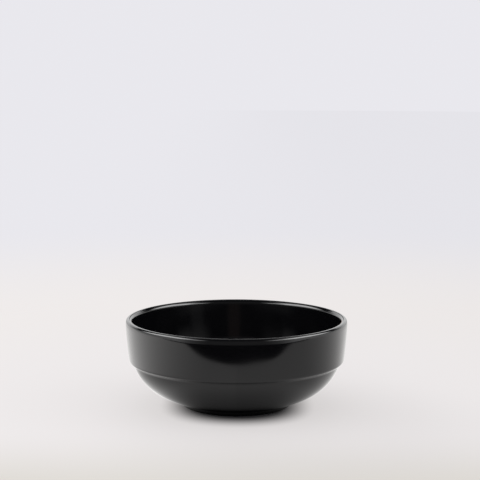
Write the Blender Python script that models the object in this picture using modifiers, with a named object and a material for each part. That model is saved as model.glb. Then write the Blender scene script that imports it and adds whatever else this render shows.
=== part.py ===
"""Stacking rice bowl, moulded in one piece: lip, upright band, belly and foot ring.

The bowl is a turned shape about the Z axis and stands on z = 0. Its outline is worked
out in millimetres as a chain of tangent arcs, and one Screw modifier turns it.
"""
import math

import bmesh
import bpy

MM = 0.001

# Overall size
RIM_DIAMETER = 127.0
HEIGHT = 50.0

# Lip: rounded outside and inside, with a narrow flat land on top
LIP_OUTER_RADIUS = 1.5
LIP_INNER_RADIUS = 2.1
LIP_LAND = 0.2

# Band: the upright wall. A face's slope is its normal's angle above the horizontal.
SHOULDER_RADIUS = 9.6
SHOULDER_SLOPE = 10.0
BAND_TOP_SLOPE = -3.2
BAND_BOTTOM_SLOPE = -5.9
BAND_CORNER_RADIUS = 2.2

# Stacking ledge under the band, belly and foot ring
LEDGE_HEIGHT = 25.4
NECK_RADIUS = 59.6
BELLY_TOP_SLOPE = -16.6
BELLY_TURN_SLOPE = -60.0
BELLY_FOOT_SLOPE = -77.0
FOOT_DIAMETER = 62.5
FOOT_HEIGHT = 2.3
FOOT_RING_WIDTH = 3.9
FOOT_EDGE_RADIUS = 0.5
RECESS_DEPTH = 2.8

# Inside: the wall's draft grows a little from the lip down to the bowl's arc
WALL_DRAFT = 4.5
WALL_FOOT_DRAFT = 10.5
WALL_END_HEIGHT = 27.0
FLOOR_HEIGHT = 6.6

# Facets
TURNS = 72
EDGE_STEPS = 3
LIP_STEPS = 5
SHOULDER_STEPS = 3
BAND_STEPS = 3
CORNER_STEPS = 5
BELLY_STEPS = 6
BELLY_FOOT_STEPS = 3
WALL_STEPS = 3
BOWL_STEPS = 9


def arc(centre, radius, start, end, steps):
    """Points along a circular arc, from slope start to slope end in degrees."""
    points = []
    for step in range(steps + 1):
        slope = math.radians(start + (end - start) * step / steps)
        points.append((centre[0] + radius * math.cos(slope), centre[1] + radius * math.sin(slope)))
    return points


def arc_from(point, radius, start, end, steps):
    """Points along the arc that leaves a point at slope start and turns to slope end."""
    slope = math.radians(start)
    centre = (point[0] - radius * math.cos(slope), point[1] - radius * math.sin(slope))
    return arc(centre, radius, start, end, steps)


def belly(start, end):
    """Two tangent arcs from start in to end, through the belly's three slopes."""
    slopes = [math.radians(slope) for slope in (BELLY_TOP_SLOPE, BELLY_TURN_SLOPE, BELLY_FOOT_SLOPE)]
    normals = [(math.cos(slope), math.sin(slope)) for slope in slopes]
    # An arc's run is its radius times the change in its normal. The two runs add up to the whole.
    upper = (normals[1][0] - normals[0][0], normals[1][1] - normals[0][1])
    lower = (normals[2][0] - normals[1][0], normals[2][1] - normals[1][1])
    run = (end[0] - start[0], end[1] - start[1])
    scale = upper[0] * lower[1] - upper[1] * lower[0]
    upper_radius = (run[0] * lower[1] - run[1] * lower[0]) / scale
    lower_radius = (upper[0] * run[1] - upper[1] * run[0]) / scale
    points = arc_from(start, upper_radius, BELLY_TOP_SLOPE, BELLY_TURN_SLOPE, BELLY_STEPS)
    points += arc_from(points[-1], lower_radius, BELLY_TURN_SLOPE, BELLY_FOOT_SLOPE, BELLY_FOOT_STEPS)[1:]
    return points


def lip_outside():
    """From the outer end of the lip's land, over the lip, to the widest point of the shoulder."""
    slope = math.radians(SHOULDER_SLOPE)
    widest_height = (HEIGHT - LIP_OUTER_RADIUS * (1 - math.sin(slope))
                     - SHOULDER_RADIUS * math.sin(slope))
    shoulder_centre = (RIM_DIAMETER / 2 - SHOULDER_RADIUS, widest_height)
    shoulder = arc(shoulder_centre, SHOULDER_RADIUS, SHOULDER_SLOPE, 0, SHOULDER_STEPS)
    lip_centre = (shoulder[0][0] - LIP_OUTER_RADIUS * math.cos(slope), HEIGHT - LIP_OUTER_RADIUS)
    lip = arc(lip_centre, LIP_OUTER_RADIUS, 90, SHOULDER_SLOPE, LIP_STEPS)
    return lip + shoulder[1:]


def band():
    """From the widest point down the gently curved wall and round its lower corner."""
    shoulder = arc_from(lip_outside()[-1], SHOULDER_RADIUS, 0, BAND_TOP_SLOPE, 1)
    top, bottom = math.radians(BAND_TOP_SLOPE), math.radians(BAND_BOTTOM_SLOPE)
    corner_top = LEDGE_HEIGHT + BAND_CORNER_RADIUS * (1 + math.sin(bottom))
    wall_radius = (shoulder[-1][1] - corner_top) / (math.sin(top) - math.sin(bottom))
    wall = arc_from(shoulder[-1], wall_radius, BAND_TOP_SLOPE, BAND_BOTTOM_SLOPE, BAND_STEPS)
    corner = arc_from(wall[-1], BAND_CORNER_RADIUS, BAND_BOTTOM_SLOPE, -90, CORNER_STEPS)
    return shoulder[1:] + wall[1:] + corner[1:]


def belly_and_foot():
    """From the neck under the band, down the belly, round the foot ring and into its recess."""
    foot = FOOT_DIAMETER / 2
    inside = foot - FOOT_RING_WIDTH
    edge = FOOT_EDGE_RADIUS
    points = belly((NECK_RADIUS, LEDGE_HEIGHT), (foot, FOOT_HEIGHT))
    points += arc((foot - edge, edge), edge, 0, -90, EDGE_STEPS)
    points += arc((inside + edge, edge), edge, -90, -180, EDGE_STEPS)
    points += [(inside, RECESS_DEPTH), (0.0, RECESS_DEPTH)]
    return points


def inside_wall():
    """From the middle of the bowl's floor, up the wall, to the inner end of the lip's land."""
    lip_centre = (lip_outside()[0][0] - LIP_LAND, HEIGHT - LIP_INNER_RADIUS)
    lip = arc(lip_centre, LIP_INNER_RADIUS, 180 - WALL_DRAFT, 90, LIP_STEPS)
    top, bottom = math.radians(WALL_DRAFT), math.radians(WALL_FOOT_DRAFT)
    wall_radius = (lip[0][1] - WALL_END_HEIGHT) / (math.sin(bottom) - math.sin(top))
    wall = arc_from(lip[0], wall_radius, -WALL_DRAFT, -WALL_FOOT_DRAFT, WALL_STEPS)
    # The bowl's arc is tangent to the wall above it and to the flat floor below it.
    bowl_radius = (WALL_END_HEIGHT - FLOOR_HEIGHT) / (1 - math.sin(bottom))
    bowl = arc_from(wall[-1], bowl_radius, -WALL_FOOT_DRAFT, -90, BOWL_STEPS)
    return [(0.0, FLOOR_HEIGHT)] + bowl[::-1] + wall[-2::-1] + lip[1:]


def make_collection(name):
    collection = bpy.data.collections.new(name)
    bpy.context.scene.collection.children.link(collection)
    return collection


def melamine(name):
    """Black moulded melamine with a semi-gloss finish."""
    material = bpy.data.materials.new(name)
    material.use_nodes = True
    shader = material.node_tree.nodes["Principled BSDF"]
    shader.inputs["Base Color"].default_value = (0.008, 0.008, 0.009, 1.0)
    shader.inputs["Roughness"].default_value = 0.15
    shader.inputs["Metallic"].default_value = 0.0
    return material


def turned(name, outline, material, collection):
    """A solid of revolution about Z from an outline of (radius, height) points."""
    mesh = bpy.data.meshes.new(name)
    profile = bmesh.new()
    verts = [profile.verts.new((radius * MM, 0.0, height * MM)) for radius, height in outline]
    for first, second in zip(verts, verts[1:]):
        profile.edges.new((first, second))
    profile.to_mesh(mesh)
    profile.free()
    mesh.materials.append(material)
    solid = bpy.data.objects.new(name, mesh)
    collection.objects.link(solid)
    screw = solid.modifiers.new("Turn", "SCREW")
    screw.axis = "Z"
    screw.angle = math.tau
    screw.steps = TURNS
    screw.render_steps = TURNS
    screw.use_merge_vertices = True
    screw.merge_threshold = 0.00001
    screw.use_smooth_shade = True
    return solid


for leftover in list(bpy.data.objects):
    bpy.data.objects.remove(leftover, do_unlink=True)

rice_bowl = make_collection("rice_bowl")
outline = inside_wall() + lip_outside() + band() + belly_and_foot()
turned("bowl", outline, melamine("black_melamine"), rice_bowl)
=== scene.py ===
"""Looks of the stacking rice bowl: a finely turned shell in black moulded melamine, on a pale sweep."""

import math

import bmesh
import bpy
from mathutils import Euler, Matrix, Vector


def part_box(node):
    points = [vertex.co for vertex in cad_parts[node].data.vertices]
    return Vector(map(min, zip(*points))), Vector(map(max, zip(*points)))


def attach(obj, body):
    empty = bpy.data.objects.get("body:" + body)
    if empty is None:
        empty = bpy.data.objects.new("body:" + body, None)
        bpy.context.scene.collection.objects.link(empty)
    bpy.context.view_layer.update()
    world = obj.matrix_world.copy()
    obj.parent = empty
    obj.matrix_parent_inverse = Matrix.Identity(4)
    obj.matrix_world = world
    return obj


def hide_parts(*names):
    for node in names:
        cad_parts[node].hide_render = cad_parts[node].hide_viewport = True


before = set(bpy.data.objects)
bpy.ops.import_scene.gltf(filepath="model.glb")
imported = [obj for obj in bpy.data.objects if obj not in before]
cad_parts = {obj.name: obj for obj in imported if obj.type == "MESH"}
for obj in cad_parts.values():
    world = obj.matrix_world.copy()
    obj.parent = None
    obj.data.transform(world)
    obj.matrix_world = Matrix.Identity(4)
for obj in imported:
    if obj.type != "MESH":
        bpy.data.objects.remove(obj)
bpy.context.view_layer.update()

MM = 0.001

# The bowl's outline: lengths in metres, slopes in degrees. Its overall size comes from the CAD node.
low_corner, high_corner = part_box("bowl")
RIM_RADIUS = (high_corner.x - low_corner.x) / 2
HEIGHT = high_corner.z - low_corner.z
LIP_OUTER_RADIUS = 1.5 * MM
LIP_INNER_RADIUS = 2.1 * MM
LIP_LAND = 0.2 * MM
SHOULDER_RADIUS = 9.6 * MM
SHOULDER_SLOPE = 10.0
BAND_TOP_SLOPE = -3.2
BAND_BOTTOM_SLOPE = -5.9
BAND_CORNER_RADIUS = 2.2 * MM
LEDGE_HEIGHT = 25.4 * MM
NECK_RADIUS = 59.6 * MM
BELLY_TOP_SLOPE = -16.6
BELLY_TURN_SLOPE = -60.0
BELLY_FOOT_SLOPE = -77.0
FOOT_RADIUS = 31.25 * MM
FOOT_HEIGHT = 2.3 * MM
FOOT_RING_WIDTH = 3.9 * MM
FOOT_EDGE_RADIUS = 0.5 * MM
FILLET_RADIUS = 0.3 * MM
RECESS_DEPTH = 2.8 * MM
WALL_DRAFT = 4.5
WALL_FOOT_DRAFT = 10.5
WALL_END_HEIGHT = 27.0 * MM
FLOOR_HEIGHT = 6.6 * MM

# How finely the shell is turned
TURNS = 256
ARC_STEP = 4.0
MAX_FACET = 1.6 * MM
MERGE_DISTANCE = 0.001 * MM


# ---------------------------------------------------------------- outline

def arc(centre, radius, start, end):
    """Points along a circular arc from slope start to slope end, in fine steps."""
    turn = math.radians(abs(end - start))
    steps = max(2, math.ceil(abs(end - start) / ARC_STEP), math.ceil(turn * radius / MAX_FACET))
    points = []
    for step in range(steps + 1):
        slope = math.radians(start + (end - start) * step / steps)
        points.append((centre[0] + radius * math.cos(slope), centre[1] + radius * math.sin(slope)))
    return points


def arc_from(point, radius, start, end):
    """Points along the arc that leaves a point at slope start and turns to slope end."""
    slope = math.radians(start)
    centre = (point[0] - radius * math.cos(slope), point[1] - radius * math.sin(slope))
    return arc(centre, radius, start, end)


def two_arcs(start, end, slopes):
    """Points along two tangent arcs from start to end, through the three slopes."""
    first, second, third = (Vector((math.cos(s), math.sin(s))) for s in map(math.radians, slopes))
    upper, lower = second - first, third - second
    run = Vector(end) - Vector(start)
    scale = upper.x * lower.y - upper.y * lower.x
    upper_radius = (run.x * lower.y - run.y * lower.x) / scale
    lower_radius = (upper.x * run.y - upper.y * run.x) / scale
    points = arc_from(start, upper_radius, slopes[0], slopes[1])
    return points + arc_from(points[-1], lower_radius, slopes[1], slopes[2])[1:]


def line(start, end):
    """Points along a straight run, end included and start left out."""
    length = math.hypot(end[0] - start[0], end[1] - start[1])
    steps = max(1, math.ceil(length / MAX_FACET))
    return [(start[0] + (end[0] - start[0]) * step / steps,
             start[1] + (end[1] - start[1]) * step / steps) for step in range(1, steps + 1)]


def lip_outside():
    """From the top of the lip out to the rim's widest point."""
    slope = math.radians(SHOULDER_SLOPE)
    widest_height = (HEIGHT - LIP_OUTER_RADIUS * (1 - math.sin(slope))
                     - SHOULDER_RADIUS * math.sin(slope))
    shoulder = arc((RIM_RADIUS - SHOULDER_RADIUS, widest_height), SHOULDER_RADIUS, SHOULDER_SLOPE, 0)
    lip_centre = (shoulder[0][0] - LIP_OUTER_RADIUS * math.cos(slope), HEIGHT - LIP_OUTER_RADIUS)
    return arc(lip_centre, LIP_OUTER_RADIUS, 90, SHOULDER_SLOPE) + shoulder[1:]


def band():
    """From the rim's widest point down the band and round its lower corner to the ledge."""
    shoulder = arc_from(lip_outside()[-1], SHOULDER_RADIUS, 0, BAND_TOP_SLOPE)
    top, bottom = math.radians(BAND_TOP_SLOPE), math.radians(BAND_BOTTOM_SLOPE)
    corner_top = LEDGE_HEIGHT + BAND_CORNER_RADIUS * (1 + math.sin(bottom))
    wall_radius = (shoulder[-1][1] - corner_top) / (math.sin(top) - math.sin(bottom))
    wall = arc_from(shoulder[-1], wall_radius, BAND_TOP_SLOPE, BAND_BOTTOM_SLOPE)
    corner = arc_from(wall[-1], BAND_CORNER_RADIUS, BAND_BOTTOM_SLOPE, -90)
    return shoulder[1:] + wall[1:] + corner[1:]


def belly_and_foot():
    """From the ledge down the belly, round the foot ring and in across the recess to the axis."""
    inside = FOOT_RADIUS - FOOT_RING_WIDTH
    edge = FOOT_EDGE_RADIUS
    fillet = FILLET_RADIUS
    crease = 180.0 + BELLY_FOOT_SLOPE
    crease_radius = FOOT_RADIUS + fillet * (1 + math.cos(math.radians(crease)))
    points = two_arcs((NECK_RADIUS, LEDGE_HEIGHT), (crease_radius, FOOT_HEIGHT),
                      (BELLY_TOP_SLOPE, BELLY_TURN_SLOPE, BELLY_FOOT_SLOPE))
    points += arc_from(points[-1], fillet, crease, 180)[1:]
    points += line(points[-1], (FOOT_RADIUS, edge))
    points += arc((FOOT_RADIUS - edge, edge), edge, 0, -90)[1:]
    points += line(points[-1], (inside + edge, 0.0))
    points += arc((inside + edge, edge), edge, -90, -180)[1:]
    points += line(points[-1], (inside, RECESS_DEPTH - fillet))
    points += arc((inside - fillet, RECESS_DEPTH - fillet), fillet, 0, 90)[1:]
    points += line(points[-1], (0.0, RECESS_DEPTH))
    return points


def inside_wall():
    """From the middle of the floor out to the wall, and up to the lip."""
    land_inner = lip_outside()[0][0] - LIP_LAND
    lip = arc((land_inner, HEIGHT - LIP_INNER_RADIUS), LIP_INNER_RADIUS, 180 - WALL_DRAFT, 90)
    top, bottom = math.radians(WALL_DRAFT), math.radians(WALL_FOOT_DRAFT)
    wall_radius = (lip[0][1] - WALL_END_HEIGHT) / (math.sin(bottom) - math.sin(top))
    wall = arc_from(lip[0], wall_radius, -WALL_DRAFT, -WALL_FOOT_DRAFT)
    bowl_radius = (WALL_END_HEIGHT - FLOOR_HEIGHT) / (1 - math.sin(bottom))
    turn = arc_from(wall[-1], bowl_radius, -WALL_FOOT_DRAFT, -90)
    rising = turn[::-1] + wall[::-1][1:] + lip[1:]
    return [(0.0, FLOOR_HEIGHT)] + line((0.0, FLOOR_HEIGHT), rising[0]) + rising[1:]


def turned(name, outline):
    """A solid of revolution about Z from an outline of (radius, height) points."""
    mesh = bpy.data.meshes.new(name)
    profile = bmesh.new()
    verts = [profile.verts.new((radius, 0.0, height)) for radius, height in outline]
    for first, second in zip(verts, verts[1:]):
        profile.edges.new((first, second))
    profile.to_mesh(mesh)
    profile.free()
    piece = bpy.data.objects.new(name, mesh)
    bpy.context.scene.collection.objects.link(piece)
    screw = piece.modifiers.new("Turn", "SCREW")
    screw.axis = "Z"
    screw.angle = math.tau
    screw.steps = TURNS
    screw.render_steps = TURNS
    screw.use_merge_vertices = True
    screw.merge_threshold = MERGE_DISTANCE
    screw.use_smooth_shade = True
    return piece


# ---------------------------------------------------------------- nodes

def plug(tree, value, socket):
    """Sets a socket from a number or colour, or links it from another node's output."""
    if isinstance(value, bpy.types.NodeSocket):
        tree.links.new(value, socket)
    else:
        socket.default_value = value


def calc(tree, operation, *values):
    """The result of a math node on numbers or other nodes' outputs."""
    node = tree.nodes.new("ShaderNodeMath")
    node.operation = operation
    for value, socket in zip(values, node.inputs):
        plug(tree, value, socket)
    return node.outputs[0]


def product(tree, first, *others):
    for other in others:
        first = calc(tree, "MULTIPLY", first, other)
    return first


def total(tree, first, *others):
    for other in others:
        first = calc(tree, "ADD", first, other)
    return first


def ramp(tree, value, low, high, to_low=0.0, to_high=1.0):
    """Smooth step of value from to_low at low to to_high at high."""
    node = tree.nodes.new("ShaderNodeMapRange")
    node.interpolation_type = "SMOOTHSTEP"
    for number, socket in zip((value, low, high, to_low, to_high), node.inputs):
        plug(tree, number, socket)
    return node.outputs[0]


def hill(tree, value, foot, top, top_end, foot_end):
    """Rises from 0 at foot to 1 at top, and falls from 1 at top_end to 0 at foot_end."""
    return product(tree, ramp(tree, value, foot, top), ramp(tree, value, top_end, foot_end, 1.0, 0.0))


def xyz(tree, vector):
    split = tree.nodes.new("ShaderNodeSeparateXYZ")
    tree.links.new(vector, split.inputs[0])
    return tuple(split.outputs[axis] for axis in "XYZ")


def azimuth_of(tree, x, y):
    """Angle about Z in degrees, 0 in front of the bowl and 180 behind it, the same on both sides."""
    return calc(tree, "DEGREES", calc(tree, "ARCTAN2", calc(tree, "ABSOLUTE", x), product(tree, y, -1.0)))


def noise(tree, vector, scale, detail, roughness):
    node = tree.nodes.new("ShaderNodeTexNoise")
    node.inputs["Scale"].default_value = scale
    node.inputs["Detail"].default_value = detail
    node.inputs["Roughness"].default_value = roughness
    tree.links.new(vector, node.inputs["Vector"])
    return node.outputs["Fac"]


def blend_colours(tree, factor, first, second):
    node = tree.nodes.new("ShaderNodeMix")
    node.data_type = "RGBA"
    sockets = {socket.identifier: socket for socket in node.inputs}
    plug(tree, factor, sockets["Factor_Float"])
    plug(tree, first, sockets["A_Color"])
    plug(tree, second, sockets["B_Color"])
    return next(socket for socket in node.outputs if socket.identifier == "Result_Color")


def blend_shaders(tree, factor, first, second):
    node = tree.nodes.new("ShaderNodeMixShader")
    plug(tree, factor, node.inputs[0])
    tree.links.new(first, node.inputs[1])
    tree.links.new(second, node.inputs[2])
    return node.outputs[0]


def glowing(tree, kind, colour, strength):
    """An Emission or a Background node, as kind says."""
    node = tree.nodes.new(kind)
    plug(tree, colour, node.inputs["Color"])
    plug(tree, strength, node.inputs["Strength"])
    return node.outputs[0]


# ---------------------------------------------------------------- melamine

# A noise is its scale, detail and roughness. A ramp's four numbers, here and below, are where it starts
# and ends, and its value at each end. A ramp of two numbers goes from 0 to 1.
MELAMINE_BLACK = (0.0026, 0.0026, 0.0032, 1.0)
MELAMINE_IOR = 1.58
CLOUD = (38.0, 3.0, 0.55)
CLOUD_ROUGHNESS = (0.3, 0.7, 0.075, 0.115)
GRAIN = (2600.0, 2.0, 0.6)
GRAIN_ROUGHNESS = (0.3, 0.7, -0.012, 0.012)
FOOT_WEAR = (0.1 * MM, 0.6 * MM, 0.25, 0.0)
PEEL = (260.0, 2.0, 0.5)
PEEL_DEPTH = 0.0016 * MM
SWELL = (45.0, 1.0, 0.5)
SWELL_DEPTH = 0.012 * MM


def melamine():
    """Black semi-gloss: clouded polish, a fine grain, a worn foot edge and faint moulding waves."""
    material = bpy.data.materials.new("black_melamine")
    material.use_nodes = True
    tree = material.node_tree
    shader = tree.nodes["Principled BSDF"]
    shader.inputs["Base Color"].default_value = MELAMINE_BLACK
    shader.inputs["IOR"].default_value = MELAMINE_IOR
    place = tree.nodes.new("ShaderNodeTexCoord").outputs["Object"]
    height = xyz(tree, place)[2]

    roughness = total(tree, ramp(tree, noise(tree, place, *CLOUD), *CLOUD_ROUGHNESS),
                      ramp(tree, noise(tree, place, *GRAIN), *GRAIN_ROUGHNESS),
                      ramp(tree, height, *FOOT_WEAR))
    plug(tree, roughness, shader.inputs["Roughness"])

    waves = total(tree, product(tree, noise(tree, place, *PEEL), PEEL_DEPTH),
                  product(tree, noise(tree, place, *SWELL), SWELL_DEPTH))
    bump = tree.nodes.new("ShaderNodeBump")
    bump.inputs["Strength"].default_value = 1.0
    bump.inputs["Distance"].default_value = 1.0
    plug(tree, waves, bump.inputs["Height"])
    plug(tree, bump.outputs["Normal"], shader.inputs["Normal"])
    return material


bowl = turned("bowl_shell", inside_wall() + lip_outside() + band() + belly_and_foot())
bowl.data.materials.append(melamine())
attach(bowl, "root")
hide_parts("bowl")


# ---------------------------------------------------------------- stage

# Places on the table are in metres from the bowl's axis, with the camera towards -Y. Azimuths are in degrees.
PAPER = (0.80, 0.785, 0.78, 1.0)
WARM_WHITE = (0.871, 0.839, 0.831, 1.0)
# Painted shade: the paper is darker and warmer in front of the bowl
FRONT_SHADE_WHITE = (0.695, 0.665, 0.595, 1.0)
COOL_WHITE = (0.815, 0.808, 0.850, 1.0)

# The pale paper: its painted shade in front (a hill along Y), its tint far away, and the painted shadow that
# dims its glow near the bowl and towards +X
PAPER_LEVEL = -0.2 * MM
PAPER_REACH = 4.0
PAPER_SIDES = 128
FRONT_SHADE = (-0.48, -0.16, -0.19, -0.06)
FAR_TINT = (0.30, 0.85)
# Painted shadow: the paper's glow darkens at the foot, in a soft patch around the front right of the bowl,
# and slightly towards +X
CONTACT_CENTRE = (0.002, 0.0)
CONTACT_STRETCH = 0.25
CONTACT_SHADOW = (0.0315, 0.057)
SOFT_SHADOW_CENTRE = (0.045, -0.070)
SOFT_SHADOW = (0.04, 0.14, 0.925, 1.0)
SIDE_SHADE = (-0.25, 0.25, 1.0, 0.965)
GLOW_SHARE = (0.12, 0.34, 0.75, 1.0)

# The table in the bowl's gloss, a glowing sheet of painted light: its glow by azimuth, its painted shadow
# under the bowl, where it ends in front, and the painted shade that dims it close to the bowl on the left
MIRROR_LEVEL = -0.3 * MM
MIRROR_CORNERS = ((-0.7, -0.2), (0.7, -0.2), (0.7, 0.7), (-0.7, 0.7))
MIRROR_WHITE = (1.0, 0.985, 0.975, 1.0)
MIRROR_LEFT = (20.0, 110.0, 0.60, 1.60)
MIRROR_RIGHT = (55.0, 160.0, 0.56, 1.51)
MIRROR_BEHIND = (120.0, 180.0, 1.0, 0.35)
MIRROR_STRETCH = 0.6
MIRROR_CONTACT = (0.030, 0.084)
FRONT_EDGE = -0.154
FRONT_EDGE_BLUR = 0.004
FRONT_EDGE_LEFT = (-0.11, -0.03, 0.004, 0.0)
FRONT_EDGE_RIGHT = (0.03, 0.11, 0.0, 0.014)
UNDER_LEFT_SHADE_SIDE = (-0.10, -0.03, 1.0, 0.0)
UNDER_LEFT_SHADE = (0.065, 0.125, 0.65, 0.0)


def flat_plate(name, corners, height):
    mesh = bpy.data.meshes.new(name)
    plate = bmesh.new()
    plate.faces.new([plate.verts.new((x, y, height)) for x, y in corners])
    plate.to_mesh(mesh)
    plate.free()
    piece = bpy.data.objects.new(name, mesh)
    bpy.context.scene.collection.objects.link(piece)
    return piece


def shader_tree(name):
    """A new material and its node tree, with only the output node left in it."""
    material = bpy.data.materials.new(name)
    material.use_nodes = True
    tree = material.node_tree
    tree.nodes.remove(tree.nodes["Principled BSDF"])
    return material, tree


def place_on_table(tree):
    position = tree.nodes.new("ShaderNodeNewGeometry").outputs["Position"]
    return xyz(tree, position)[:2]


def distance_from(tree, x, y, centre=(0.0, 0.0)):
    across = calc(tree, "POWER", calc(tree, "SUBTRACT", x, centre[0]), 2.0)
    along = calc(tree, "POWER", calc(tree, "SUBTRACT", y, centre[1]), 2.0)
    return calc(tree, "SQRT", total(tree, across, along))


def under_light(tree, radius, x, stretch):
    """Distance from the axis, stretched at the sides, where the side lights shorten the shadow."""
    sideways = calc(tree, "DIVIDE", calc(tree, "ABSOLUTE", x), radius)
    factor = product(tree, calc(tree, "POWER", sideways, 4.0), stretch)
    return product(tree, radius, total(tree, 1.0, factor))


def sweep_floor():
    """Pale paper that glows evenly, as on a lit sweep, with a painted shadow under and around the bowl and
    painted shade in front.
    """
    turns = [math.tau * side / PAPER_SIDES for side in range(PAPER_SIDES)]
    circle = [(PAPER_REACH * math.cos(turn), PAPER_REACH * math.sin(turn)) for turn in turns]
    floor = flat_plate("floor", circle, PAPER_LEVEL)
    floor.visible_glossy = False
    material, tree = shader_tree("pale_paper")
    x, y = place_on_table(tree)
    radius = distance_from(tree, x, y)

    # Painted shade darkens and warms the paper in front
    near = blend_colours(tree, hill(tree, y, *FRONT_SHADE), WARM_WHITE, FRONT_SHADE_WHITE)
    colour = blend_colours(tree, ramp(tree, radius, *FAR_TINT), near, COOL_WHITE)
    from_foot = under_light(tree, distance_from(tree, x, y, CONTACT_CENTRE), x, CONTACT_STRETCH)
    # Painted shadow in the glow: at the foot, around the front right of the bowl and towards +X
    strength = product(tree, ramp(tree, from_foot, *CONTACT_SHADOW),
                       ramp(tree, distance_from(tree, x, y, SOFT_SHADOW_CENTRE), *SOFT_SHADOW),
                       ramp(tree, x, *SIDE_SHADE))
    paper = tree.nodes.new("ShaderNodeBsdfDiffuse")
    paper.inputs["Color"].default_value = PAPER
    glow = glowing(tree, "ShaderNodeEmission", colour, strength)
    surface = blend_shaders(tree, ramp(tree, radius, *GLOW_SHARE), paper.outputs[0], glow)
    tree.links.new(surface, tree.nodes["Material Output"].inputs["Surface"])
    floor.data.materials.append(material)


def mirrored_table():
    """The table as the bowl's gloss sees it, a painted reflection: dim in front, bright at the sides, painted
    shadow under the belly.
    """
    table = flat_plate("mirrored_table", MIRROR_CORNERS, MIRROR_LEVEL)
    table.visible_camera = False
    table.visible_diffuse = False
    table.visible_shadow = False
    table.visible_transmission = False
    material, tree = shader_tree("mirrored_paper")
    x, y = place_on_table(tree)
    radius = distance_from(tree, x, y)
    azimuth = azimuth_of(tree, x, y)

    left = ramp(tree, azimuth, *MIRROR_LEFT)
    right = ramp(tree, azimuth, *MIRROR_RIGHT)
    on_right = calc(tree, "GREATER_THAN", x, 0.0)
    around = total(tree, left, product(tree, calc(tree, "SUBTRACT", right, left), on_right))
    edge_shift = total(tree, ramp(tree, x, *FRONT_EDGE_LEFT), ramp(tree, x, *FRONT_EDGE_RIGHT))
    behind_edge = ramp(tree, calc(tree, "SUBTRACT", y, edge_shift),
                       FRONT_EDGE - FRONT_EDGE_BLUR, FRONT_EDGE + FRONT_EDGE_BLUR)
    # Painted shade: the sheet dims close to the bowl on the left
    under_left_shade = product(tree, ramp(tree, x, *UNDER_LEFT_SHADE_SIDE), ramp(tree, radius, *UNDER_LEFT_SHADE))
    strength = product(tree, around, ramp(tree, azimuth, *MIRROR_BEHIND),
                       ramp(tree, under_light(tree, radius, x, MIRROR_STRETCH), *MIRROR_CONTACT),
                       behind_edge, calc(tree, "SUBTRACT", 1.0, under_left_shade))
    glow = glowing(tree, "ShaderNodeEmission", MIRROR_WHITE, strength)
    tree.links.new(glow, tree.nodes["Material Output"].inputs["Surface"])
    table.data.materials.append(material)


sweep_floor()
mirrored_table()


# ---------------------------------------------------------------- light

LIGHT_AZIMUTH = 82.0
LIGHT_ELEVATION = 30.0
LIGHT_DISTANCE = 1.0
LIGHT_SIZE = 0.9
LIGHT_RADIANCE = 0.7


def side_light(name, azimuth):
    """A wide light aimed at the bowl, for the floor's soft shadows. The gloss doesn't see it."""
    turn, lift = math.radians(azimuth), math.radians(LIGHT_ELEVATION)
    direction = Vector((math.sin(turn) * math.cos(lift), -math.cos(turn) * math.cos(lift), math.sin(lift)))
    lamp = bpy.data.lights.new(name, "AREA")
    lamp.shape = "SQUARE"
    lamp.size = LIGHT_SIZE
    lamp.energy = LIGHT_RADIANCE * math.pi * LIGHT_SIZE ** 2
    light = bpy.data.objects.new(name, lamp)
    light.location = Vector((0, 0, HEIGHT / 2)) + direction * LIGHT_DISTANCE
    light.rotation_euler = (-direction).to_track_quat("-Z", "Y").to_euler()
    light.visible_camera = False
    light.visible_glossy = False
    bpy.context.scene.collection.objects.link(light)


side_light("soft_light_left", -LIGHT_AZIMUTH)
side_light("soft_light_right", LIGHT_AZIMUTH)


# ---------------------------------------------------------------- studio

# What the bowl's gloss sees around it. A box is its brightness, then its azimuths and its elevations in
# degrees: foot, top, end of top and end of foot. An azimuth below 0 or above 180 leaves that side open.
STUDIO_GREY = (0.80, 0.80, 0.80, 1.0)
STRIP_RED = (0.80, 0.57, 0.50, 1.0)
DARK_ROOM = 0.012
SIDE_BOX = (8.0, (48, 72, 105, 125), (13, 24, 44, 60))
BOXES = (
    (0.16, (-13, -1, 60, 72), (-14, -11, 12, 15)),
    (0.10, (-13, -1, 60, 72), (13, 16, 48, 51)),
    (0.22, (27, 45, 75, 93), (-14, -11, 9, 12)),
    (1.2, (40, 72, 125, 157), (-17, -14, 9, 12)),
    (6.0, (28, 45, 60, 75), (13, 22, 28, 36)),
    (0.4, (95, 120, 181, 206), (36, 42, 66, 72)),
)

# The backdrop: its sides, its glow by elevation, and its top, which is lower in the very middle
BACK_SIDES = (125, 150)
BACK_GLOW = (-4, 10, 0.9, 1.6)
BACK_TOP = (0, 8, 8, 26)
BACK_TOP_BLUR = (0.0, 1.5, 1.0, 0.0)

# What a second bounce inside the hollow shows: a share of the side box by X, a box on the left, and a
# strip by the angle from the back towards +X
INNER_SIDES = (-0.2, 0.2, 0.6, 0.3)
INNER_BOX = (1.6, (66, 82, 96, 110), (3, 9, 24, 30))
INNER_STRIP = (-21, -18, 6, 9)
INNER_STRIP_GLOW = 1.5

# The fill for the floor, by elevation
FILL = (0, 70, 0.7, 1.35)


def box(tree, azimuth, elevation, level, azimuths, elevations):
    return product(tree, level, hill(tree, azimuth, *azimuths), hill(tree, elevation, *elevations))


def backdrop(tree, azimuth, elevation):
    off_back = calc(tree, "SUBTRACT", 180.0, azimuth)
    above_top = calc(tree, "SUBTRACT", elevation, ramp(tree, off_back, *BACK_TOP))
    return product(tree, ramp(tree, above_top, *BACK_TOP_BLUR), ramp(tree, elevation, *BACK_GLOW),
                   ramp(tree, azimuth, *BACK_SIDES))


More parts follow.
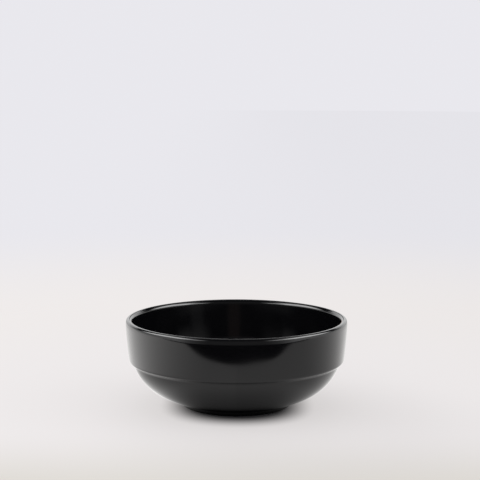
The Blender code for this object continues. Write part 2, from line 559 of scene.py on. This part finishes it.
def mirrored_studio(tree, rays, x, y, elevation):
    """The dim studio in the bowl's gloss. Rays that met the gloss twice see the inner shares of it."""
    azimuth = azimuth_of(tree, x, y)
    twice = calc(tree, "GREATER_THAN", rays.outputs["Glossy Depth"], 1.5)
    once = calc(tree, "SUBTRACT", 1.0, twice)

    boxes = [box(tree, azimuth, elevation, *sizes) for sizes in BOXES]
    inner_share = total(tree, once, product(tree, twice, ramp(tree, x, *INNER_SIDES)))
    side_box = product(tree, box(tree, azimuth, elevation, *SIDE_BOX), inner_share)
    back = product(tree, backdrop(tree, azimuth, elevation), once)
    inner_left = product(tree, box(tree, azimuth, elevation, *INNER_BOX),
                         calc(tree, "LESS_THAN", x, 0.0), twice)
    from_back = calc(tree, "DEGREES", calc(tree, "ARCTAN2", x, y))
    strip = product(tree, hill(tree, from_back, *INNER_STRIP), twice)
    level = total(tree, DARK_ROOM, back, side_box, inner_left, product(tree, strip, INNER_STRIP_GLOW), *boxes)
    colour = blend_colours(tree, strip, STUDIO_GREY, STRIP_RED)
    return glowing(tree, "ShaderNodeBackground", colour, level)


def studio_world():
    """White for the camera, a soft fill for the floor, and the studio that the gloss mirrors."""
    world = bpy.data.worlds.new("studio")
    bpy.context.scene.world = world
    world.use_nodes = True
    tree = world.node_tree
    tree.nodes.clear()
    x, y, z = xyz(tree, tree.nodes.new("ShaderNodeTexCoord").outputs["Generated"])
    elevation = calc(tree, "DEGREES", calc(tree, "ARCSINE", z))
    rays = tree.nodes.new("ShaderNodeLightPath")

    fill = glowing(tree, "ShaderNodeBackground", COOL_WHITE, ramp(tree, elevation, *FILL))
    white = glowing(tree, "ShaderNodeBackground", COOL_WHITE, 1.0)
    mirrored = mirrored_studio(tree, rays, x, y, elevation)
    unseen = blend_shaders(tree, rays.outputs["Is Glossy Ray"], fill, mirrored)
    surface = blend_shaders(tree, rays.outputs["Is Camera Ray"], unseen, white)
    tree.links.new(surface, tree.nodes.new("ShaderNodeOutputWorld").inputs["Surface"])


studio_world()
bpy.context.scene.view_settings.view_transform = "Standard"


# ---------------------------------------------------------------- camera

CAMERA_DISTANCE = 0.840
CAMERA_ELEVATION = 12.27
CAMERA_PITCH = 7.525
CAMERA_ROLL = -0.12
CAMERA_SHIFT = 1.66 * MM
LENS = 108.9
SENSOR = 36.0


def add_camera():
    """A long lens a little above the rim. The bowl sits low in the frame."""
    elevation = math.radians(CAMERA_ELEVATION)
    lens = bpy.data.cameras.new("camera")
    lens.sensor_width = SENSOR
    lens.lens = LENS
    camera = bpy.data.objects.new("camera", lens)
    camera.location = (CAMERA_SHIFT, -CAMERA_DISTANCE * math.cos(elevation),
                       HEIGHT / 2 + CAMERA_DISTANCE * math.sin(elevation))
    tilt = math.pi / 2 - math.radians(CAMERA_PITCH)
    camera.rotation_euler = Euler((tilt, math.radians(CAMERA_ROLL), 0))
    bpy.context.scene.collection.objects.link(camera)
    bpy.context.scene.camera = camera


add_camera()
